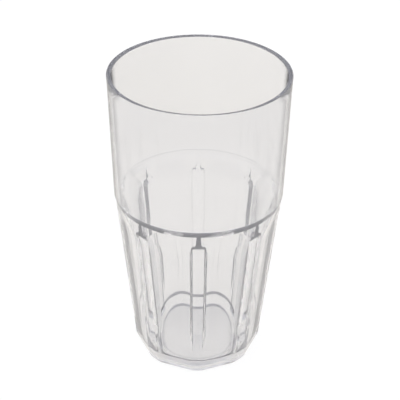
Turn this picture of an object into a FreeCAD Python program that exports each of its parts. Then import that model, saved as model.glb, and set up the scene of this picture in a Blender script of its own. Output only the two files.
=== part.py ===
import FreeCAD, Part
import math
import os

import Sketcher

# Stacking tumbler, moulded in one piece.  Millimetres, +Z up, origin at the
# centre of the foot, one of the eight bars facing -Y (the front).

# Driving dimensions, millimetres except for the count of panels.
SIZES = (
    ("height", 151.4),
    ("rim_radius", 42.5),
    ("wall", 2.1),
    ("rim_bevel", 0.7),
    ("rim_round", 0.4),
    ("collar_flare", 2.1),
    ("shoulder_level", 90.1),
    ("shoulder_step", 0.35),
    ("body_drop", 9.85),
    ("heel_height", 8.3),
    ("foot_inset", 4.7),
    ("foot_width", 1.9),
    ("recess_lean", 0.7),
    ("foot_recess", 2.2),
    ("body_wall", 2.8),
    ("ledge_start", 0.3),
    ("ledge_depth", 3.1),
    ("floor_level", 9.0),
    ("floor_round", 0.6),
    ("panels", 8.0),
    ("bar_width", 6.6),
    ("panel_start", 1.5),
    ("panel_blend", 10.5),
    ("rib_low_width", 4.1),
    ("rib_high_width", 5.2),
    ("rib_draft", 1.0),
    ("rib_depth", 2.6),
    ("rib_sink", 1.6),
    ("rib_start", 9.0),
    ("rib_slope", 3.0),
    ("rib_low", 16.0),
    ("rib_run", 10.0),
    ("web_foot_width", 3.8),
    ("web_waist_width", 1.8),
    ("web_end_width", 1.4),
    ("web_draft", 0.3),
    ("web_lift", 1.0),
    ("web_rise", 4.4),
    ("web_waist_depth", 1.4),
    ("web_end_depth", 0.05),
    ("web_start", 3.2),
)

# Places worked out from them: (alias, formula).
PLACES = (
    ("shoulder_radius", "rim_radius - collar_flare"),
    ("body_radius", "shoulder_radius - shoulder_step"),
    ("base_radius", "body_radius - body_drop"),
    ("foot_radius", "base_radius - foot_inset"),
    ("foot_inner", "foot_radius - foot_width"),
    ("recess_edge", "foot_inner - recess_lean"),
    ("taper", "body_drop / shoulder_level"),
    ("lean", "atan(taper)"),
    ("collar_taper", "collar_flare / (height - shoulder_level)"),
    ("heel_radius", "base_radius + taper * heel_height"),
    ("heel_run", "heel_radius - foot_radius"),
    ("heel_square", "heel_run * heel_run + heel_height * heel_height"),
    ("heel_round", "heel_square / 2 / (heel_run * cos(lean) - heel_height * sin(lean))"),
    ("panel_half", "180deg / panels"),
    ("panel_low", "base_radius * cos(panel_half - asin(bar_width / 2 / base_radius))"),
    ("panel_high", "body_radius * cos(panel_half - asin(bar_width / 2 / body_radius))"),
    ("panel_taper", "(panel_high - panel_low) / shoulder_level"),
    ("panel_lean", "atan(panel_taper)"),
    ("panel_foot", "panel_low - foot_inset"),
    ("panel_heel", "panel_low + panel_taper * heel_height"),
    ("panel_run", "panel_heel - panel_foot"),
    ("panel_square", "panel_run * panel_run + heel_height * heel_height"),
    ("panel_round", "panel_square / 2 / (panel_run * cos(panel_lean) - heel_height * sin(panel_lean))"),
    ("panel_top_z", "shoulder_level - panel_start"),
    ("panel_top_r", "base_radius + taper * panel_top_z"),
    ("panel_bend_z", "panel_top_z - panel_blend"),
    ("panel_bend_r", "panel_low + panel_taper * panel_bend_z"),
    ("clear_r", "rim_radius + 4"),
    ("clear_z", "-2"),
    ("above_rim", "height + 1"),
    ("above_rim_r", "rim_radius - wall + collar_taper"),
    ("rim_inner_z", "height - rim_bevel"),
    ("rim_inner_r", "rim_radius - wall - collar_taper * rim_bevel"),
    ("rim_cone_z", "height - rim_bevel * rim_radius / (rim_radius - rim_inner_r)"),
    ("ledge_top_z", "shoulder_level - ledge_start"),
    ("ledge_top_r", "shoulder_radius - wall - collar_taper * ledge_start"),
    ("ledge_low_z", "ledge_top_z - ledge_depth"),
    ("ledge_low_r", "base_radius + taper * ledge_low_z - body_wall"),
    ("floor_corner", "base_radius + taper * floor_level - body_wall"),
    ("floor_reach", "floor_round / tan(45deg + lean / 2)"),
    ("floor_edge", "floor_corner - floor_reach"),
    ("floor_bend_r", "floor_corner + floor_reach * sin(lean)"),
    ("floor_bend_z", "floor_level + floor_reach * cos(lean)"),
    ("rib_top_z", "shoulder_level - rib_start"),
    ("rib_bend_z", "rib_top_z - rib_slope"),
    ("web_low_z", "rib_bend_z + web_lift"),
    ("web_top_z", "shoulder_level - web_start"),
    ("web_low_depth", "rib_depth * sqrt(1 - web_lift * web_lift / rib_slope / rib_slope)"),
    ("rib_spread", "(rib_high_width - rib_low_width) / rib_top_z"),
)

# Cross sections up a rib: name, level, share of its depth that is left there.
RIB_SECTIONS = (
    ("rib_foot", "rib_low", "0.02"),
    ("rib_rise", "rib_low + rib_run", "1"),
    ("rib_bend", "rib_bend_z", "1"),
    ("rib_curve", "rib_bend_z + rib_slope * sin(30deg)", "cos(30deg)"),
    ("rib_crown", "rib_bend_z + rib_slope * sin(60deg)", "cos(60deg)"),
    ("rib_end", "rib_top_z", "0.02"),
)

# Cross sections up the web that joins a rib's top to the ledge: name, level, depth, width.
WEB_SECTIONS = (
    ("web_foot", "web_low_z", "web_low_depth", "web_foot_width"),
    ("web_waist", "rib_bend_z + web_rise", "web_waist_depth", "web_waist_width"),
    ("web_end", "web_top_z", "web_end_depth", "web_end_width"),
)


def section_cells():
    """Cells of the rib and web sections: level, front, wall and back of each."""
    cells = []
    for name, level, share in RIB_SECTIONS:
        width = f"rib_low_width + rib_spread * {name}_level"
        cells += one_section(name, level, f"rib_depth * {share}", width, f"rib_draft * {share}")
    for name, level, depth, width in WEB_SECTIONS:
        cells += one_section(name, level, depth, width, "web_draft")
    return tuple(cells)


def one_section(name, level, depth, width, draft):
    """Level of a section, its half widths, and how far from the axis its parts are."""
    return [
        (f"{name}_level", level),
        (f"{name}_side", f"({width}) / 2"),
        (f"{name}_root", f"{name}_side + {draft}"),
        (f"{name}_wall", f"base_radius + taper * {name}_level - body_wall"),
        (f"{name}_front", f"{name}_wall - {depth}"),
        (f"{name}_back", f"{name}_wall + rib_sink"),
    ]


def make_sheet(doc):
    """Driving dimensions as numbers, then the places as formulas over them."""
    sheet = doc.addObject("Spreadsheet::Sheet", "Sizes")
    row = 0
    for alias, value in SIZES + PLACES + section_cells():
        row += 1
        entry = f"={value}" if isinstance(value, str) else str(value)
        sheet.set(f"A{row}", alias)
        sheet.setAlias(f"B{row}", alias)
        sheet.set(f"B{row}", entry)
    doc.recompute()
    return sheet


def number(sheet, alias):
    """Value of a cell as a plain number; a leading minus turns its sign."""
    if alias is None:
        return 0.0
    if alias.startswith("-"):
        return -number(sheet, alias[1:])
    cell = getattr(sheet, alias)
    return cell.Value if hasattr(cell, "Value") else float(cell)


def origin_feature(body, role):
    """The body's own origin plane or axis with this role."""
    return next(f for f in body.Origin.OriginFeatures if f.Role == role)


def profile(body, sheet, name, corners, half_turn=False):
    """Closed outline on the body's XZ plane, half_turn puts it half a panel round."""
    sketch = body.newObject("Sketcher::SketchObject", name)
    sketch.AttachmentSupport = [(origin_feature(body, "XZ_Plane"), "")]
    sketch.MapMode = "FlatFace"
    if half_turn:
        turn = FreeCAD.Rotation(FreeCAD.Vector(0, 1, 0), 22.5)
        sketch.AttachmentOffset = FreeCAD.Placement(FreeCAD.Vector(), turn)
        sketch.setExpression("AttachmentOffset.Rotation.Angle", "Sizes.panel_half")
    draw(sketch, sheet, corners)
    return sketch


def section(body, sheet, name, level, corners):
    """Closed outline on a level plane above the ground."""
    sketch = body.newObject("Sketcher::SketchObject", name)
    sketch.AttachmentSupport = [(origin_feature(body, "XY_Plane"), "")]
    sketch.MapMode = "FlatFace"
    lift = FreeCAD.Vector(0, 0, number(sheet, level))
    sketch.AttachmentOffset = FreeCAD.Placement(lift, FreeCAD.Rotation())
    sketch.setExpression("AttachmentOffset.Base.z", f"Sizes.{level}")
    draw(sketch, sheet, corners)
    return sketch


def draw(sketch, sheet, corners):
    """Lines from corner to corner, each held by its cells.

    A corner is (across, up); None stands for a place on the axis or on the
    ground line.  A third entry makes the edge that leaves the corner an arc
    of that radius, bulging to the right of the way it goes.
    """
    spots = []
    for corner in corners:
        spots.append(FreeCAD.Vector(number(sheet, corner[0]), number(sheet, corner[1]), 0))
    count = len(spots)
    for i, corner in enumerate(corners):
        start = spots[i]
        end = spots[(i + 1) % count]
        if len(corner) > 2:
            sketch.addGeometry(arc_between(start, end, number(sheet, corner[2])), False)
        else:
            sketch.addGeometry(Part.LineSegment(start, end), False)
    for i in range(count):
        sketch.addConstraint(Sketcher.Constraint("Coincident", i, 2, (i + 1) % count, 1))
    for i, corner in enumerate(corners):
        hold(sketch, "DistanceX", i, corner[0], spots[i].x, -2)
        hold(sketch, "DistanceY", i, corner[1], spots[i].y, -1)
        if len(corner) > 2:
            radius = Sketcher.Constraint("Radius", i, number(sheet, corner[2]))
            index = sketch.addConstraint(radius)
            sketch.setExpression(f"Constraints[{index}]", f"Sizes.{corner[2]}")


def arc_between(start, end, radius):
    """Counterclockwise arc of less than half a circle between two spots."""
    chord = end - start
    half = chord.Length / 2
    left = FreeCAD.Vector(-chord.y, chord.x, 0).normalize()
    centre = start + chord * 0.5 + left * math.sqrt(radius * radius - half * half)
    circle = Part.Circle(centre, FreeCAD.Vector(0, 0, 1), radius)
    low = math.atan2(start.y - centre.y, start.x - centre.x)
    high = math.atan2(end.y - centre.y, end.x - centre.x)
    return Part.ArcOfCircle(circle, low, high)


def hold(sketch, kind, corner, alias, value, axis):
    """Bind one coordinate of a corner to its cell, or put it on the axis."""
    if alias is None:
        sketch.addConstraint(Sketcher.Constraint("PointOnObject", corner, 1, axis))
        return
    index = sketch.addConstraint(Sketcher.Constraint(kind, -1, 1, corner, 1, value))
    sign = "-" if alias.startswith("-") else ""
    sketch.setExpression(f"Constraints[{index}]", f"{sign}Sizes.{alias.lstrip('-')}")


def turned(doc, body, kind, name, sketch):
    """Solid of revolution, or a groove of one, about the upright axis."""
    feature = body.newObject(kind, name)
    feature.Profile = sketch
    feature.ReferenceAxis = (origin_feature(body, "Z_Axis"), [""])
    feature.Angle = 360.0
    sketch.Visibility = False
    doc.recompute()
    return feature


def straight(doc, body, kind, name, sketch, length):
    """Pad or pocket of a sketch, the same way to both sides of its plane."""
    feature = body.newObject(kind, name)
    feature.Profile = sketch
    feature.SideType = "Symmetric"
    feature.setExpression("Length", length)
    sketch.Visibility = False
    doc.recompute()
    return feature


def lofted(doc, body, name, sketches):
    """Straight-sided solid through sections one above the other."""
    feature = body.newObject("PartDesign::AdditiveLoft", name)
    feature.Profile = sketches[0]
    feature.Sections = sketches[1:]
    feature.Ruled = True
    for sketch in sketches:
        sketch.Visibility = False
    doc.recompute()
    return feature


def around(doc, body, name, original):
    """Repeat a feature once for each panel around the upright axis."""
    pattern = body.newObject("PartDesign::PolarPattern", name)
    pattern.Originals = [original]
    pattern.Axis = (origin_feature(body, "Z_Axis"), [""])
    pattern.Angle = 360.0
    pattern.setExpression("Occurrences", "Sizes.panels")
    body.Tip = pattern
    doc.recompute()
    return pattern


def circles_at(shape, level, radius):
    """Names of the full circle edges at this level with this radius."""
    names = []
    for i, edge in enumerate(shape.Edges, start=1):
        if not isinstance(edge.Curve, Part.Circle):
            continue
        near = abs(edge.Curve.Center.z - level) < 0.01 and abs(edge.Curve.Radius - radius) < 0.01
        if near and edge.Curve.Center.x ** 2 + edge.Curve.Center.y ** 2 < 0.0001:
            names.append(f"Edge{i}")
    return names


def rounded(doc, body, name, base, edges, radius):
    """Round the named edges of the last feature."""
    if not edges:
        raise RuntimeError(f"{name}: no edge found")
    feature = body.newObject("PartDesign::Fillet", name)
    feature.Base = (base, edges)
    feature.setExpression("Radius", f"Sizes.{radius}")
    body.Tip = feature
    doc.recompute()
    return feature


def buttress(doc, body, sheet, name, sections):
    """Rib or web at the front: at each level a face, slanted sides and a back in the wall."""
    sketches = []
    for part in sections:
        level = part[0]
        sketches.append(section(body, sheet, level, f"{level}_level", (
            (f"-{level}_side", f"-{level}_front"),
            (f"{level}_side", f"-{level}_front"),
            (f"{level}_root", f"-{level}_wall"),
            (f"{level}_root", f"-{level}_back"),
            (f"-{level}_root", f"-{level}_back"),
            (f"-{level}_root", f"-{level}_wall"),
        )))
    return lofted(doc, body, name, sketches)


def build_tumbler(doc, sheet):
    """The whole cup: turned shell, flat panels outside, ribs inside."""
    body = doc.addObject("PartDesign::Body", "tumbler")
    body.Label = "tumbler"

    outside = profile(body, sheet, "OutsideProfile", (
        (None, "foot_recess"),
        ("recess_edge", "foot_recess"),
        ("foot_inner", None),
        ("foot_radius", None, "heel_round"),
        ("heel_radius", "heel_height"),
        ("body_radius", "shoulder_level"),
        ("shoulder_radius", "shoulder_level"),
        ("rim_radius", "height"),
        (None, "rim_cone_z"),
    ))
    blank = turned(doc, body, "PartDesign::Revolution", "Blank", outside)

    facet = profile(body, sheet, "PanelProfile", (
        ("panel_foot", "clear_z"),
        ("panel_foot", None, "panel_round"),
        ("panel_heel", "heel_height"),
        ("panel_bend_r", "panel_bend_z"),
        ("panel_top_r", "panel_top_z"),
        ("clear_r", "panel_top_z"),
        ("clear_r", "clear_z"),
    ), half_turn=True)
    panel = straight(doc, body, "PartDesign::Pocket", "Panel", facet, "Sizes.body_radius")
    panels = around(doc, body, "Panels", panel)

    inside = profile(body, sheet, "CavityProfile", (
        (None, "floor_level"),
        ("floor_edge", "floor_level", "floor_round"),
        ("floor_bend_r", "floor_bend_z"),
        ("ledge_low_r", "ledge_low_z"),
        ("ledge_top_r", "ledge_top_z"),
        ("above_rim_r", "above_rim"),
        (None, "above_rim"),
    ))
    cavity = turned(doc, body, "PartDesign::Groove", "Cavity", inside)

    rib = buttress(doc, body, sheet, "Rib", RIB_SECTIONS)
    ribs = around(doc, body, "Ribs", rib)
    web = buttress(doc, body, sheet, "Web", WEB_SECTIONS)
    webs = around(doc, body, "Webs", web)

    rim_edges = circles_at(webs.Shape, number(sheet, "height"), number(sheet, "rim_radius"))
    rim_edges += circles_at(webs.Shape, number(sheet, "rim_inner_z"), number(sheet, "rim_inner_r"))
    rim = rounded(doc, body, "Rim", webs, rim_edges, "rim_round")
    return body, (blank, panels, cavity, ribs, webs, rim)


def check(doc, body, steps):
    """Stop if anything failed, or if a step left the volume as it was."""
    for item in doc.Objects:
        if "Invalid" in item.State or "Error" in item.State:
            raise RuntimeError(f"{item.Name}: {item.State}")
    volumes = []
    for step in steps:
        if step.Shape.isNull() or not step.Shape.isValid():
            raise RuntimeError(f"{step.Name}: bad shape")
        volumes.append(step.Shape.Volume)
        print(f"{step.Name}: {step.Shape.Volume / 1000:.2f} ml")
    for before, after, step in zip(volumes, volumes[1:], steps[1:]):
        grows = step.Name in ("Ribs", "Webs")
        if (after > before) != grows or abs(after - before) < 1.0:
            raise RuntimeError(f"{step.Name}: volume went from {before:.0f} to {after:.0f}")
    if len(body.Shape.Solids) != 1:
        raise RuntimeError(f"{len(body.Shape.Solids)} solids")


def main():
    doc = FreeCAD.newDocument("StackingTumbler")
    sheet = make_sheet(doc)
    body, steps = build_tumbler(doc, sheet)
    doc.recompute()
    check(doc, body, steps)
    os.makedirs("parts", exist_ok=True)
    body.Shape.exportStep("parts/tumbler.step")
    box = body.Shape.BoundBox
    print(f"tumbler: {box.XLength:.2f} x {box.YLength:.2f} x {box.ZLength:.2f} mm")


main()
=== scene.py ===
import math

import bpy
import numpy as np
from bpy.props import FloatProperty, FloatVectorProperty, PointerProperty
from mathutils import Euler, Matrix


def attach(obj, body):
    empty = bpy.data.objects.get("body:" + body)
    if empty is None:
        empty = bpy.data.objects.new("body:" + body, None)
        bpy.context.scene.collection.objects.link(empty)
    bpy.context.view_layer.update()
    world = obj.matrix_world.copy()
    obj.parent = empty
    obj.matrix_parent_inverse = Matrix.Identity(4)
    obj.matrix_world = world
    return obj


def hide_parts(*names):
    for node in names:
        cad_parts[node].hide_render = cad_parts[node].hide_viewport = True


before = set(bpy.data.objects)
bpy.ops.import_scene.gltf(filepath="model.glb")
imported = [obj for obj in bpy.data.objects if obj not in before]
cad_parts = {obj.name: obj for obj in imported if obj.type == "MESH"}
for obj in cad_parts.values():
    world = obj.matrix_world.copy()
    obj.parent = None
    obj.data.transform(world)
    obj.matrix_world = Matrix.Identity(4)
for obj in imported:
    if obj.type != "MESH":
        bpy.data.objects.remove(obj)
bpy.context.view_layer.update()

bl_info = {
    "name": "Stacking tumbler",
    "version": (1, 0, 0),
    "blender": (4, 5, 0),
    "location": "3D View > Sidebar > Tumbler",
    "description": "Clear moulded tumbler with flat panels, inner ribs and a thick base, on a white table",
    "category": "Object",
}

NODE = "tumbler"
PANELS = 8
HALF_PANEL = math.pi / PANELS

# Columns of the mesh in half a panel, from the middle of a bar outwards.
OUTER_COLUMNS = (12, 16)
INNER_COLUMNS = (3, 2, 6, 3, 14)

# Rows of the mesh along each stretch of the section, and corners of the round table top.
RECESS_ROWS = 6
HEEL_ROWS = 14
PANEL_ROWS = 14
PANEL_TOP_ROWS = 26
COLLAR_ROWS = 14
RIM_EDGE_ROWS = 9
LEDGE_ROWS = 5
WEB_ROWS = 7
RIB_TOP_ROWS = 10
RIB_ROWS = 16
FLOOR_EDGE_ROWS = 9
FLOOR_ROWS = 6
TABLE_CORNERS = 96

# Innermost row of the recess and of the floor, as a share of the outermost.
RECESS_CORE = 0.02
FLOOR_CORE = 0.002

# Height of the small step at a web's top, and the least share of a rib's draft.
HAIR = 0.00001
LEAST_DRAFT = 0.02

SHARP_EDGE = math.radians(11.0)

# The painted shade under the base and the recess's roughness fade out between these levels, in depths of
# the recess.
UNDERSIDE = (1.05, 1.3)

# Upward part of a direction where the table's light starts to turn to the room's, and where it has.
HORIZON = (-0.08, 0.06)

CAMERA_SENSOR = 36.0
CAMERA_NEAR = 0.01
WHITE = (1.0, 1.0, 1.0, 1.0)


def length(name, default, description):
    """A length in metres, given in millimetres."""
    return FloatProperty(name=name, description=description, default=default / 1000.0, min=0.0,
                         unit="LENGTH")


def share(name, default, description):
    """A share from 0 to 1."""
    return FloatProperty(name=name, description=description, default=default, min=0.0, max=1.0,
                         subtype="FACTOR")


def tone(name, default, description):
    """A colour as red, green and blue."""
    return FloatVectorProperty(name=name, description=description, default=default, min=0.0, max=1.0,
                               size=3, subtype="COLOR")


def brightness(name, default, description):
    """How bright something is, where 1 is white."""
    return FloatProperty(name=name, description=description, default=default, min=0.0)


def angle(name, default, description):
    """An angle, given in degrees."""
    return FloatProperty(name=name, description=description, default=math.radians(default), subtype="ANGLE")


class TumblerShape(bpy.types.PropertyGroup):
    """Sizes of the cup"""

    height: length("Height", 151.4, "Foot to rim")
    rim_radius: length("Rim radius", 42.5, "Outside radius at the rim")
    rim_round: length("Rim round", 0.4, "Rounding of both rim edges")
    rim_bevel: length("Rim bevel", 0.7, "How much lower the rim is at its inner edge")
    wall: length("Collar wall", 2.1, "Wall of the plain collar")
    shoulder_level: length("Shoulder level", 90.1, "Height of the step below the collar")
    shoulder_radius: length("Shoulder radius", 40.4, "Outside radius just above the step")
    body_radius: length("Body radius", 40.05, "Outside radius just below the step")
    base_radius: length("Base radius", 30.2, "Outside radius of the body's cone on the ground plane")
    heel_height: length("Heel height", 8.3, "Height at which the rounded heel starts")
    foot_radius: length("Foot radius", 25.5, "Outside radius of the foot")
    foot_inner: length("Foot inner radius", 23.6, "Inside radius of the foot ring")
    recess_edge: length("Recess radius", 22.9, "Radius of the recess under the base")
    foot_recess: length("Recess depth", 2.2, "Depth of the recess under the base")
    bar_half: length("Bar half width", 3.3, "Half the width of an upright bar")
    panel_start: length("Panel start", 1.5, "Gap between the step and a panel's top")
    panel_blend: length("Panel blend", 10.5, "Height over which a panel's top slants out")
    body_wall: length("Body wall", 2.8, "Wall below the step, measured at a bar")
    ledge_start: length("Ledge start", 0.3, "Gap between the step and the inner ledge")
    ledge_depth: length("Ledge depth", 3.1, "Height of the slanted inner ledge")
    floor_level: length("Floor level", 9.0, "Height of the floor inside")
    floor_round: length("Floor round", 0.6, "Rounding between floor and wall")
    rib_depth: length("Rib depth", 2.6, "How far a rib stands in from the wall")
    rib_face_low: length("Rib face half width, low", 2.05, "Half width of a rib's face at the floor")
    rib_face_high: length("Rib face half width, high", 2.6, "Half width of a rib's face at its top")
    rib_draft: length("Rib draft", 1.0, "How much wider a rib is at its root on each side")
    rib_start: length("Rib start", 9.0, "Gap between the step and a rib's top")
    rib_slope: length("Rib top round", 3.0, "Height of a rib's rounded top")
    rib_low: length("Rib low end", 16.0, "Height at which a rib starts to stand out of the wall")
    rib_run: length("Rib run", 10.0, "Height over which a rib's low end grows to its full depth")
    web_draft: length("Web draft", 0.3, "How much wider the web above a rib is at its root on each side")
    web_foot: length("Web half width, foot", 1.9, "Half width of the web's face at the rib")
    web_waist: length("Web half width, waist", 0.9, "Half width of the web's face at its waist")
    web_end: length("Web half width, end", 0.7, "Half width of the web's face at its top")
    web_lift: length("Web lift", 1.0, "How far above the rib's full depth the web starts")
    web_rise: length("Web waist rise", 4.4, "Height of the waist above the rib's full depth")
    web_waist_depth: length("Web waist depth", 1.4, "How far the web stands in at its waist")
    web_end_depth: length("Web end depth", 0.05, "How far the web stands in at its top")
    web_start: length("Web start", 3.2, "Gap between the step and the web's top")


class TumblerLooks(bpy.types.PropertyGroup):
    """Finish, tint and painted shade of the plastic"""

    tint: tone("Tint", (1.0, 1.0, 1.0), "Colour of the plastic")
    ior: FloatProperty(name="Index of refraction", description="How strongly the plastic bends light",
                       default=1.56, min=1.0, max=2.0)
    haze: share("Haze", 0.12, "Share of light that the plastic scatters instead of passing")
    roughness: share("Roughness", 0.0, "Roughness of the polished faces")
    # Painted shade: a dark colour laid where the plastic is seen edge on.
    painted_edge_shade: tone("Painted edge shade", (0.05, 0.05, 0.06), "Painted shade where the plastic is seen edge on")
    edge_start: share("Edge start", 0.68, "How far a face turns away before the painted edge shade sets in")
    edge_full: share("Edge full", 0.88, "How far a face turns away where the painted edge shade is full")
    edge_share: share("Edge share, body", 0.25, "Share of the painted edge shade below the shoulder")
    edge_blend: length("Edge share blend", 4.0, "Reach round the shoulder in which the share changes")
    # Painted shade: a dark ring laid along the edge of the recess under the base.
    painted_ring_shade: tone("Painted ring shade", (0.5, 0.5, 0.54), "Painted shade along the recess's edge")
    ring_width: length("Ring width", 2.0, "Reach of the painted ring shade to either side of the edge")
    # Painted shade: grey laid over the recess under the base, darker towards the back; the roughness below
    # is the recess's own.
    painted_disc_shade: tone("Painted disc shade", (0.86, 0.86, 0.87), "Painted shade over the stippled recess under the base")
    painted_disc_shade_back: tone("Painted disc shade, back", (0.66, 0.66, 0.68), "Painted shade of the recess towards the back")
    disc_from: length("Disc shade start", 12.0, "Distance before the axis where the back colour sets in")
    disc_to: length("Disc shade full", 20.0, "Distance behind the axis where the back colour is full")
    disc_blend: length("Disc blend", 1.0, "Width in which the disc fades out at its edge")
    disc_rough: share("Disc roughness", 0.15, "Roughness of the stippled recess under the base")
    # Painted shade: a dark colour laid in the corner between the floor and the wall inside.
    painted_corner_shade: tone("Painted corner shade", (0.1, 0.1, 0.12), "Painted shade in the corner between floor and wall")
    corner_shift: length("Corner shift", 1.0, "Corner's radius past the wall's at the ground")
    corner_height: length("Painted corner shade height", 0.9, "Reach of the painted corner shade up and down")
    corner_width: length("Painted corner shade width", 1.4, "Reach of the painted corner shade in and out")


class TumblerStage(bpy.types.PropertyGroup):
    """Table, light and camera"""

    low_light: brightness("Light from below", 1.02, "Brightness of the white table seen in the plastic")
    high_light: brightness("Light from above", 0.8, "Brightness of the dim room seen in the plastic")
    low_colour: tone("Colour from below", (1.0, 0.972, 0.925), "Colour of the table seen in the plastic")
    high_colour: tone("Colour from above", (0.86, 0.87, 0.99), "Colour of the room seen in the plastic")
    side_loss: share("Side loss", 0.12, "Share of the table's brightness lost far to either side")
    side_from: length("Side loss start", 100.0, "Distance to either side where the loss starts")
    side_to: length("Side loss full", 250.0, "Distance to either side where the loss is full")
    back_loss: share("Back loss", 0.055, "Share of the table's brightness lost far behind")
    back_from: length("Back loss start", 160.0, "Distance behind where the loss starts")
    back_to: length("Back loss full", 230.0, "Distance behind where the loss is full")
    floor_tone: share("Floor tone", 0.85, "How light the table's own colour is")
    floor_white: brightness("Floor white", 1.06, "Brightness that the table adds to the camera")
    floor_share: share("Floor share", 0.9, "Share of the added brightness in what is seen")
    floor_radius: length("Floor radius", 1200.0, "Radius of the round table top")
    lamp_power: FloatProperty(name="Lamp power", description="Power of the soft lamp",
                              default=4.0, min=0.0, unit="POWER")
    lamp_size: length("Lamp size", 1000.0, "Diameter of the soft lamp")
    lamp_place: FloatVectorProperty(name="Lamp place", description="Middle of the soft lamp",
                                    default=(-0.6, -0.3, 1.2), subtype="TRANSLATION", unit="LENGTH")
    tilt: angle("Camera tilt", 31.12, "How far the camera looks down")
    turn: angle("Camera turn", -0.4, "Angle of the camera about the cup from the front bar")
    roll: angle("Camera roll", 0.566, "Roll of the camera")
    distance: length("Camera distance", 616.1, "Camera to the point it looks at")
    aim: length("Aim height", 83.9, "Height of the point the camera looks at")
    lens: FloatProperty(name="Lens", description="Focal length on a 36 mm sensor, in millimetres",
                        default=115.37, min=1.0)
    shift_across: FloatProperty(name="Shift across", default=0.00375,
                                description="How far the picture is moved to the side, in picture widths")
    shift_up: FloatProperty(name="Shift up", default=-0.0015,
                            description="How far the picture is moved up, in picture widths")


def lerp(a, b, t):
    """From a to b as t goes from 0 to 1."""
    return a + (b - a) * t


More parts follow.
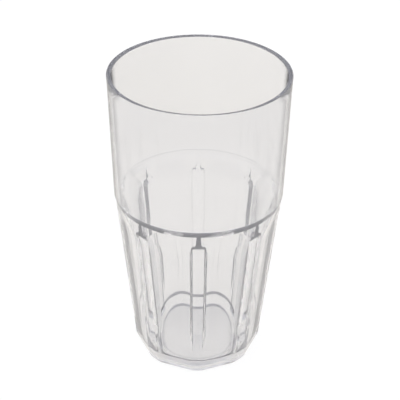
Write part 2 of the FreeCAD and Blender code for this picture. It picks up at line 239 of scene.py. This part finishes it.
class CupForm:
    """Cross sections of the cup, each a closed row of points at one level."""

    def __init__(self, shape):
        self.s = shape
        s = shape
        self.taper = (s.body_radius - s.base_radius) / s.shoulder_level
        self.panel_top = s.shoulder_level - s.panel_start
        self.panel_bend = self.panel_top - s.panel_blend
        self.plane_low = self.flat_distance(s.base_radius)
        self.plane_taper = (self.flat_distance(s.body_radius) - self.plane_low) / s.shoulder_level
        self.rib_top = s.shoulder_level - s.rib_start
        self.rib_bend = self.rib_top - s.rib_slope
        self.web_low = self.rib_bend + s.web_lift
        self.web_top = s.shoulder_level - s.web_start
        self.ledge_top = s.shoulder_level - s.ledge_start
        self.ledge_low = self.ledge_top - s.ledge_depth

    def cone(self, z):
        """Outside radius of the body."""
        return self.s.base_radius + self.taper * z

    def collar(self, z):
        """Outside radius of the collar."""
        s = self.s
        return lerp(s.shoulder_radius, s.rim_radius, (z - s.shoulder_level) / (s.height - s.shoulder_level))

    def flat_distance(self, radius):
        """Distance from the axis to the plane of a panel between two bars."""
        return radius * math.cos(HALF_PANEL - math.asin(self.s.bar_half / radius))

    def plane(self, z):
        """Distance from the axis to a panel at this level, above the heel."""
        if z <= self.panel_bend:
            return self.plane_low + self.plane_taper * z
        low = self.plane_low + self.plane_taper * self.panel_bend
        high = self.cone(self.panel_top)
        return lerp(low, high, (z - self.panel_bend) / (self.panel_top - self.panel_bend))

    def outer_angles(self, radius, plane):
        """Angles of the columns: bar first, then the flat up to its middle."""
        bar, flat = OUTER_COLUMNS
        edge = HALF_PANEL - math.acos(min(1.0, plane / radius))
        return np.concatenate((
            np.linspace(0.0, edge, bar + 1),
            np.linspace(edge, HALF_PANEL, flat + 1)[1:],
        ))

    def faceted(self, radius, plane):
        """Half panel of the outside: round bar, flat panel."""
        q = self.outer_angles(radius, plane)
        r = np.minimum(radius, plane / np.cos(HALF_PANEL - q))
        return r * np.sin(q), r * np.cos(q)

    def wall(self, z):
        """Inside radius."""
        s = self.s
        high = self.collar(z) - s.wall
        low = self.cone(z) - s.body_wall
        if z >= self.ledge_top:
            return high
        if z <= self.ledge_low:
            return low
        low = self.cone(self.ledge_low) - s.body_wall
        high = self.collar(self.ledge_top) - s.wall
        return lerp(low, high, (z - self.ledge_low) / s.ledge_depth)

    def rib_share(self, z):
        """Share of a rib's depth that is left at this level."""
        s = self.s
        if z >= self.rib_top:
            return 0.0
        if z <= self.rib_bend:
            return min(1.0, max(0.0, (z - s.rib_low) / s.rib_run))
        t = 1.0 - (self.rib_top - z) / s.rib_slope
        return math.sqrt(max(0.0, 1.0 - t * t))

    def web_section(self, z):
        """How far the web stands in from the wall, and its half width there."""
        s = self.s
        levels = (self.web_low, self.rib_bend + s.web_rise, self.web_top)
        low_depth = s.rib_depth * self.rib_share(self.web_low)
        depth = np.interp(z, levels, (low_depth, s.web_waist_depth, s.web_end_depth))
        edge = np.interp(z, levels, (s.web_foot, s.web_waist, s.web_end))
        return (depth if z <= self.web_top else 0.0), edge

    def ribbed(self, z, inset):
        """Half panel of the inside: web, rib, then plain wall."""
        s = self.s
        radius = self.wall(z) - inset
        lean = min(1.0, z / self.rib_top)
        face = lerp(s.rib_face_low, s.rib_face_high, lean)
        depth = self.rib_share(z)
        root = face + s.rib_draft * max(LEAST_DRAFT, depth)
        web_depth, web_edge = self.web_section(z)
        web_root = web_edge + s.web_draft
        web, web_side, rib, rib_side, plain = INNER_COLUMNS
        x = np.concatenate((
            np.linspace(0.0, web_edge, web + 1),
            np.linspace(web_edge, web_root, web_side + 1)[1:],
            np.linspace(web_root, face, rib + 1)[1:],
            np.linspace(face, root, rib_side + 1)[1:],
        ))
        wall = np.sqrt(radius * radius - x * x)
        straight = self.cone(z) - s.body_wall
        y = wall.copy()
        if depth > 0.0:
            front = straight - s.rib_depth * depth
            side = np.clip((x - face) / (root - face), 0.0, 1.0)
            end = math.sqrt(radius * radius - root * root)
            y = np.minimum(wall, np.where(x <= face, front, lerp(front, end, side)))
        if z > self.web_low and web_depth > 0.0:
            front = straight - web_depth
            side = np.clip((x - web_edge) / s.web_draft, 0.0, 1.0)
            end = np.interp(web_root, x, y)
            y = np.where(x < web_root, np.minimum(y, lerp(front, end, side)), y)
        edge = math.asin(root / radius)
        q = np.linspace(edge, HALF_PANEL, plain + 1)[1:]
        return np.concatenate((x, radius * np.sin(q))), np.concatenate((y, radius * np.cos(q)))

    def full_row(self, half, z):
        """Whole section from half a panel: mirrored, then repeated round the axis."""
        x, y = half
        side = np.concatenate((-x[:0:-1], x))[1:]
        out = np.concatenate((y[:0:-1], y))[1:]
        rows = []
        for k in range(PANELS):
            a = -math.pi / 2 + k * 2 * HALF_PANEL
            rows.append(np.stack((out * math.cos(a) - side * math.sin(a),
                                  out * math.sin(a) + side * math.cos(a),
                                  np.full(len(out), z)), 1))
        return np.concatenate(rows)

    def round_row(self, radius, angles, z):
        """Circle with its columns at these angles in each half panel."""
        return self.full_row((radius * np.sin(angles), radius * np.cos(angles)), z)

    def rows(self):
        """All sections in order, from under the base up, over the rim and down to the floor."""
        return self.base_rows() + self.body_rows() + self.collar_rows() + self.inside_rows()

    def base_rows(self):
        """Recess under the base, foot ring and rounded heel."""
        s = self.s
        run = self.cone(s.heel_height) - s.foot_radius
        heel = tangent_arc(s.foot_radius, run, s.heel_height, self.taper)
        flat_foot = s.foot_radius - (s.base_radius - self.plane_low)
        flat_run = self.plane(s.heel_height) - flat_foot
        flat_heel = tangent_arc(flat_foot, flat_run, s.heel_height, self.plane_taper)
        foot_angles = self.outer_angles(s.foot_radius, flat_foot)
        rows = []
        for radius in np.linspace(RECESS_CORE, 1.0, RECESS_ROWS) * s.recess_edge:
            rows.append(self.round_row(radius, foot_angles, s.foot_recess))
        rows.append(self.round_row(s.foot_inner, foot_angles, 0.0))
        for radius, z in heel:
            plane = np.interp(z, [spot[1] for spot in flat_heel], [spot[0] for spot in flat_heel])
            rows.append(self.full_row(self.faceted(radius, plane), z))
        return rows

    def body_rows(self):
        """Bars and panels, from the heel up to the panels' tops."""
        levels = np.concatenate((
            np.linspace(self.s.heel_height, self.panel_bend, PANEL_ROWS)[1:],
            np.linspace(self.panel_bend, self.panel_top, PANEL_TOP_ROWS)[1:],
        ))
        return [self.full_row(self.faceted(self.cone(z), self.plane(z)), z) for z in levels]

    def rim_arcs(self):
        """Rounded outer and inner edge of the rim, as points in order."""
        s = self.s
        step = (s.shoulder_radius, s.shoulder_level)
        outer = (s.rim_radius, s.height)
        inner_z = s.height - s.rim_bevel
        inner = (self.wall(inner_z), inner_z)
        ledge = (self.wall(self.ledge_top), self.ledge_top)
        return (rounded_corner(step, outer, inner, s.rim_round),
                rounded_corner(outer, inner, ledge, s.rim_round))

    def collar_rows(self):
        """Shoulder step, collar outside, rim, and collar inside down to the ledge."""
        s = self.s
        outer_arc, inner_arc = self.rim_arcs()
        step_angles = self.outer_angles(1.0, 1.0)
        even_angles = np.linspace(0.0, HALF_PANEL, sum(OUTER_COLUMNS) + 1)
        x, y = self.ribbed(self.ledge_top, 0.0)
        ledge_angles = np.arctan2(x, y)
        rows = [self.round_row(radius, step_angles, s.shoulder_level)
                for radius in (s.body_radius, s.shoulder_radius)]
        for t in np.linspace(0.0, 1.0, COLLAR_ROWS)[1:-1]:
            z = lerp(s.shoulder_level, outer_arc[0][1], t)
            rows.append(self.round_row(self.collar(z), lerp(step_angles, even_angles, t), z))
        for radius, z in outer_arc + inner_arc:
            rows.append(self.round_row(radius, even_angles, z))
        for t in np.linspace(0.0, 1.0, COLLAR_ROWS)[1:]:
            z = lerp(inner_arc[-1][1], self.ledge_top, t)
            rows.append(self.round_row(self.wall(z), lerp(even_angles, ledge_angles, t), z))
        return rows

    def inside_rows(self):
        """Ledge, webs, ribs and wall down to the floor, then the floor to its middle."""
        s = self.s
        rib_top_turns = np.linspace(0.0, math.pi / 2, RIB_TOP_ROWS)[1:]
        levels = np.concatenate((
            np.linspace(self.ledge_top, self.ledge_low, LEDGE_ROWS)[1:],
            np.linspace(self.ledge_low, self.rib_top, WEB_ROWS)[1:],
            self.rib_bend + s.rib_slope * np.cos(rib_top_turns),
            np.linspace(self.rib_bend, s.floor_level + s.floor_round, RIB_ROWS)[1:],
            (self.web_top, self.web_top + HAIR, self.rib_bend + s.web_rise),
            (s.rib_low, s.rib_low + s.rib_run),
        ))
        rows = [self.full_row(self.ribbed(z, 0.0), z) for z in np.unique(levels)[::-1]]
        for a in np.linspace(0.0, math.pi / 2, FLOOR_EDGE_ROWS)[1:]:
            z = s.floor_level + s.floor_round * (1 - math.sin(a))
            rows.append(self.full_row(self.ribbed(z, s.floor_round * (1 - math.cos(a))), z))
        edge = rows[-1]
        for t in np.linspace(1.0, FLOOR_CORE, FLOOR_ROWS)[1:]:
            rows.append(edge * (t, t, 1.0))
        return rows


def tangent_arc(foot, run, rise, taper):
    """Arc from a foot on the ground out and up to a slanted line, tangent to the line."""
    lean = math.atan(taper)
    radius = (run * run + rise * rise) / (2 * (run * math.cos(lean) - rise * math.sin(lean)))
    centre_x = foot + run - radius * math.cos(lean)
    centre_z = rise + radius * math.sin(lean)
    low = math.atan2(-centre_z, foot - centre_x)
    return [(centre_x + radius * math.cos(a), centre_z + radius * math.sin(a))
            for a in np.linspace(low, -lean, HEEL_ROWS)]


def rounded_corner(before, corner, after, radius):
    """Arc that rounds a corner between two straight lines, as points in order."""
    tip = np.array(corner)
    back = np.array(before) - tip
    ahead = np.array(after) - tip
    back = back / np.linalg.norm(back)
    ahead = ahead / np.linalg.norm(ahead)
    half = math.acos(float(np.dot(back, ahead))) / 2
    reach = radius / math.tan(half)
    middle = back + ahead
    centre = tip + middle / np.linalg.norm(middle) * radius / math.sin(half)
    start = tip + back * reach - centre
    end = tip + ahead * reach - centre
    turn = math.pi - 2 * half
    points = []
    for t in np.linspace(0.0, 1.0, RIM_EDGE_ROWS):
        spot = centre + (start * math.sin((1 - t) * turn) + end * math.sin(t * turn)) / math.sin(turn)
        points.append((float(spot[0]), float(spot[1])))
    return points


def mesh_from_rows(name, rows):
    """Closed skin over the rows, quads between neighbours and a fan at each end."""
    count = len(rows[0])
    verts = np.concatenate(rows)
    i = np.arange(count)
    j = (i + 1) % count
    quads = [np.stack((k * count + i, k * count + j, (k + 1) * count + j, (k + 1) * count + i), 1)
             for k in range(len(rows) - 1)]
    faces = [tuple(f) for f in np.concatenate(quads).tolist()]
    first = len(verts)
    middle = [[0.0, 0.0, rows[0][0][2]], [0.0, 0.0, rows[-1][0][2]]]
    verts = np.concatenate((verts, middle))
    last_row = (len(rows) - 1) * count
    faces += [(first, int(b), int(a)) for a, b in zip(i, j)]
    faces += [(first + 1, last_row + int(a), last_row + int(b)) for a, b in zip(i, j)]
    mesh = bpy.data.meshes.new(name)
    mesh.from_pydata(verts.tolist(), [], faces)
    mesh.validate()
    mesh.polygons.foreach_set("use_smooth", [True] * len(mesh.polygons))
    mesh.set_sharp_from_angle(angle=SHARP_EDGE)
    return mesh


class Value:
    """A number socket that can be written in plain arithmetic."""

    def __init__(self, nodes, socket):
        self.nodes = nodes
        self.socket = socket

    def _math(self, operation, a, b=None):
        values = {0: a} if b is None else {0: a, 1: b}
        node = self.nodes.add("ShaderNodeMath", {"operation": operation}, values)
        return Value(self.nodes, node.outputs[0])

    def __add__(self, other):
        return self._math("ADD", self, other)

    def __radd__(self, other):
        return self._math("ADD", other, self)

    def __sub__(self, other):
        return self._math("SUBTRACT", self, other)

    def __rsub__(self, other):
        return self._math("SUBTRACT", other, self)

    def __mul__(self, other):
        return self._math("MULTIPLY", self, other)

    def __rmul__(self, other):
        return self._math("MULTIPLY", other, self)

    def larger(self, other):
        return self._math("MAXIMUM", self, other)

    def size(self):
        return self._math("ABSOLUTE", self)

    def root(self):
        return self._math("SQRT", self)

    def ramp(self, low, high, start, end):
        """From start to end as the value goes from low to high."""
        node = self.nodes.add("ShaderNodeMapRange", {"interpolation_type": "SMOOTHSTEP"},
                              {"Value": self, "From Min": low, "From Max": high,
                               "To Min": start, "To Max": end})
        return Value(self.nodes, node.outputs[0])


class Nodes:
    """Adds nodes to one tree: type, settings, then values or links by socket."""

    def __init__(self, tree):
        self.tree = tree
        tree.nodes.clear()

    def add(self, kind, settings=None, inputs=None):
        node = self.tree.nodes.new(kind)
        for name, value in (settings or {}).items():
            setattr(node, name, value)
        for name, value in (inputs or {}).items():
            value = getattr(value, "socket", value)
            if isinstance(value, bpy.types.NodeSocket):
                self.tree.links.new(value, node.inputs[name])
            else:
                node.inputs[name].default_value = value
        return node

    def value(self, socket):
        """The socket, ready for arithmetic."""
        return Value(self, socket)

    def blend(self, factor, a, b):
        """Colour a where the factor is 0, b where it is 1."""
        node = self.add("ShaderNodeMix", {"data_type": "RGBA"}, {0: factor, 6: a, 7: b})
        return node.outputs[2]

    def dim(self, factor, colour, loss):
        """The colour, darker by this share where the factor is 1."""
        node = self.add("ShaderNodeMix", {"data_type": "RGBA", "blend_type": "MULTIPLY"},
                        {0: factor, 6: colour, 7: (1.0 - loss,) * 3 + (1.0,)})
        return node.outputs[2]

    def choose(self, factor, a, b):
        """Number a where the factor is 0, b where it is 1."""
        node = self.add("ShaderNodeMix", {"data_type": "FLOAT"}, {"Factor": factor, "A": a, "B": b})
        return Value(self, node.outputs[0])


def near(value, middle, reach):
    """1 where the value is at the middle, 0 from this reach on."""
    return (value - middle).size().ramp(reach * 0.5, reach, 1.0, 0.0)


def clear_plastic(looks, shape):
    """Clear plastic with painted shade edge on, round the floor's corner, at the edge of the stippled
    recess and over the recess, darker towards its back; the recess is also rougher.
    """
    material = bpy.data.materials.new("clear plastic")
    material.use_nodes = True
    nodes = Nodes(material.node_tree)
    spot = nodes.add("ShaderNodeSeparateXYZ", {}, {0: nodes.add("ShaderNodeTexCoord").outputs["Object"]})
    x, y, z = (nodes.value(spot.outputs[name]) for name in "XYZ")
    out = (x * x + y * y).root()
    turned = nodes.value(nodes.add("ShaderNodeLayerWeight", {}, {"Blend": 0.5}).outputs["Facing"])
    shoulder = shape.shoulder_level
    strong = z.ramp(shoulder - looks.edge_blend, shoulder + looks.edge_blend, looks.edge_share, 1.0)
    # Painted shade: a dark colour where a face turns away from the camera, full above the shoulder and
    # weaker below it.
    edge = turned.ramp(looks.edge_start, looks.edge_full, 0.0, 1.0) * strong
    low = z.ramp(shape.foot_recess * UNDERSIDE[0], shape.foot_recess * UNDERSIDE[1], 1.0, 0.0)
    # Painted shade: a dark line round the edge of the recess under the base.
    ring = low * near(out, (shape.foot_inner + shape.recess_edge) / 2, looks.ring_width)
    # Painted shade over the recess under the base, darker towards the back; the same mask also makes the
    # recess rougher.
    disc = low * out.ramp(shape.recess_edge - looks.disc_blend, shape.recess_edge, 1.0, 0.0)
    # Painted shade: a dark band in the corner between the floor and the wall inside.
    corner_radius = shape.base_radius - shape.body_wall + looks.corner_shift
    corner_level = shape.floor_level + shape.floor_round / 2
    corner = near(z, corner_level, looks.corner_height) * near(out, corner_radius, looks.corner_width)
    shade = y.ramp(-looks.disc_from, looks.disc_to, 0.0, 1.0)
    painted_disc_colour = nodes.blend(shade, (*looks.painted_disc_shade, 1.0), (*looks.painted_disc_shade_back, 1.0))
    colour = nodes.blend(edge, (*looks.tint, 1.0), (*looks.painted_edge_shade, 1.0))
    colour = nodes.blend(disc, colour, painted_disc_colour)
    colour = nodes.blend(ring, colour, (*looks.painted_ring_shade, 1.0))
    colour = nodes.blend(corner, colour, (*looks.painted_corner_shade, 1.0))
    shader = nodes.add("ShaderNodeBsdfPrincipled", {}, {
        "Base Color": colour,
        "Roughness": disc * (looks.disc_rough - looks.roughness) + looks.roughness,
        "IOR": looks.ior,
        "Transmission Weight": 1.0 - looks.haze,
    })
    nodes.add("ShaderNodeOutputMaterial", {}, {"Surface": shader.outputs[0]})
    return material


def pale_floor(stage):
    """Pale table that keeps shadows; to the camera and in the plastic it is nearly white."""
    material = bpy.data.materials.new("pale floor")
    material.use_nodes = True
    nodes = Nodes(material.node_tree)
    rays = nodes.add("ShaderNodeLightPath")
    seen = nodes.value(rays.outputs["Is Camera Ray"])
    through = nodes.value(rays.outputs["Is Transmission Ray"])
    through = through.larger(nodes.value(rays.outputs["Is Glossy Ray"]))
    matt = nodes.add("ShaderNodeBsdfDiffuse", {}, {"Color": (stage.floor_tone,) * 3 + (1.0,)})
    spot = nodes.add("ShaderNodeSeparateXYZ", {}, {0: nodes.add("ShaderNodeTexCoord").outputs["Object"]})
    aside = nodes.value(spot.outputs["X"]).size().ramp(stage.side_from, stage.side_to, 0.0, 1.0)
    behind = nodes.value(spot.outputs["Y"]).ramp(stage.back_from, stage.back_to, 0.0, 1.0)
    bright = tuple(stage.low_light * part for part in stage.low_colour)
    colour = nodes.dim(aside, (*bright, 1.0), stage.side_loss)
    colour = nodes.dim(behind, colour, stage.back_loss)
    colour = nodes.blend(seen, colour, (stage.floor_white,) * 3 + (1.0,))
    glow = nodes.add("ShaderNodeEmission", {}, {"Color": colour})
    added = seen.larger(through) * stage.floor_share
    mix = nodes.add("ShaderNodeMixShader", {}, {0: added, 1: matt.outputs[0], 2: glow.outputs[0]})
    nodes.add("ShaderNodeOutputMaterial", {}, {"Surface": mix.outputs[0]})
    return material


def floor_mesh(radius):
    """Level disc with its middle on the origin."""
    turn = np.linspace(0.0, 2 * math.pi, TABLE_CORNERS, endpoint=False)
    verts = [(radius * math.cos(a), radius * math.sin(a), 0.0) for a in turn]
    mesh = bpy.data.meshes.new("floor")
    mesh.from_pydata(verts, [], [tuple(range(TABLE_CORNERS))])
    return mesh


def soft_lamp(stage):
    """Large round lamp above and beside the cup, turned to it."""
    data = bpy.data.lights.new("soft lamp", "AREA")
    data.shape = "DISK"
    data.size = stage.lamp_size
    data.energy = stage.lamp_power
    lamp = link(data, "soft lamp")
    lamp.location = stage.lamp_place
    lamp.rotation_euler = (-lamp.location).to_track_quat("-Z", "Y").to_euler()


def studio_world(stage):
    """White to the camera; in the plastic, bright below the horizon and dim above."""
    world = bpy.data.worlds.new("studio")
    world.use_nodes = True
    nodes = Nodes(world.node_tree)
    way = nodes.add("ShaderNodeSeparateXYZ", {}, {0: nodes.add("ShaderNodeTexCoord").outputs["Generated"]})
    up = nodes.value(way.outputs["Z"])
    height = up.ramp(*HORIZON, 0.0, 1.0)
    light = height * (stage.high_light - stage.low_light) + stage.low_light
    colour = nodes.blend(height, (*stage.low_colour, 1.0), (*stage.high_colour, 1.0))
    rays = nodes.add("ShaderNodeLightPath")
    strength = nodes.choose(rays.outputs["Is Camera Ray"], light, 1.0)
    colour = nodes.blend(rays.outputs["Is Camera Ray"], colour, WHITE)
    background = nodes.add("ShaderNodeBackground", {}, {"Color": colour, "Strength": strength})
    nodes.add("ShaderNodeOutputWorld", {}, {"Surface": background.outputs[0]})
    return world


def front_camera(stage):
    """Camera before and above the cup, looking down at a point on its axis."""
    data = bpy.data.cameras.new("camera")
    data.sensor_width = CAMERA_SENSOR
    data.lens = stage.lens
    data.shift_x = stage.shift_across
    data.shift_y = stage.shift_up
    data.clip_start = CAMERA_NEAR
    camera = link(data, "camera")
    away = stage.distance * math.cos(stage.tilt)
    rise = stage.aim + stage.distance * math.sin(stage.tilt)
    spot = Matrix.Translation((0.0, -away, rise))
    look = Euler((math.pi / 2 - stage.tilt, 0.0, 0.0)).to_matrix().to_4x4()
    roll = Matrix.Rotation(stage.roll, 4, "Z")
    camera.matrix_world = Matrix.Rotation(stage.turn, 4, "Z") @ spot @ look @ roll
    return camera


def link(data, name):
    """New object with this data, in the scene."""
    thing = bpy.data.objects.new(name, data)
    bpy.context.scene.collection.objects.link(thing)
    return thing


class TUMBLER_OT_cup(bpy.types.Operator):
    """Build the clear cup over the fixed frame"""

    bl_idname = "tumbler.cup"
    bl_label = "Build cup"

    def execute(self, context):
        scene = context.scene
        mesh = mesh_from_rows("tumbler_clear", CupForm(scene.tumbler_shape).rows())
        mesh.materials.append(clear_plastic(scene.tumbler_looks, scene.tumbler_shape))
        cup = link(mesh, "tumbler_clear")
        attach(cup, "root")
        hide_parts(NODE)
        return {"FINISHED"}


class TUMBLER_OT_stage(bpy.types.Operator):
    """Set the table, the light and the camera"""

    bl_idname = "tumbler.stage"
    bl_label = "Set stage"

    def execute(self, context):
        scene = context.scene
        stage = scene.tumbler_stage
        scene.world = studio_world(stage)
        mesh = floor_mesh(stage.floor_radius)
        mesh.materials.append(pale_floor(stage))
        floor = link(mesh, "floor")
        soft_lamp(stage)
        scene.camera = front_camera(stage)
        scene.view_settings.view_transform = "Standard"
        return {"FINISHED"}


class TUMBLER_PT_panel(bpy.types.Panel):
    """Sizes, looks and stage of the tumbler"""

    bl_idname = "TUMBLER_PT_panel"
    bl_label = "Tumbler"
    bl_space_type = "VIEW_3D"
    bl_region_type = "UI"
    bl_category = "Tumbler"

    def draw(self, context):
        scene = context.scene
        for group in (scene.tumbler_shape, scene.tumbler_looks, scene.tumbler_stage):
            box = self.layout.box()
            for name in group.__annotations__:
                box.prop(group, name)
        self.layout.operator(TUMBLER_OT_cup.bl_idname)
        self.layout.operator(TUMBLER_OT_stage.bl_idname)


CLASSES = (TumblerShape, TumblerLooks, TumblerStage, TUMBLER_OT_cup, TUMBLER_OT_stage, TUMBLER_PT_panel)


def register():
    for item in CLASSES:
        bpy.utils.register_class(item)
    bpy.types.Scene.tumbler_shape = PointerProperty(type=TumblerShape)
    bpy.types.Scene.tumbler_looks = PointerProperty(type=TumblerLooks)
    bpy.types.Scene.tumbler_stage = PointerProperty(type=TumblerStage)


def unregister():
    del bpy.types.Scene.tumbler_stage
    del bpy.types.Scene.tumbler_looks
    del bpy.types.Scene.tumbler_shape
    for item in reversed(CLASSES):
        bpy.utils.unregister_class(item)


def main():
    register()
    bpy.ops.tumbler.cup()
    bpy.ops.tumbler.stage()


if __name__ == "__main__":
    main()
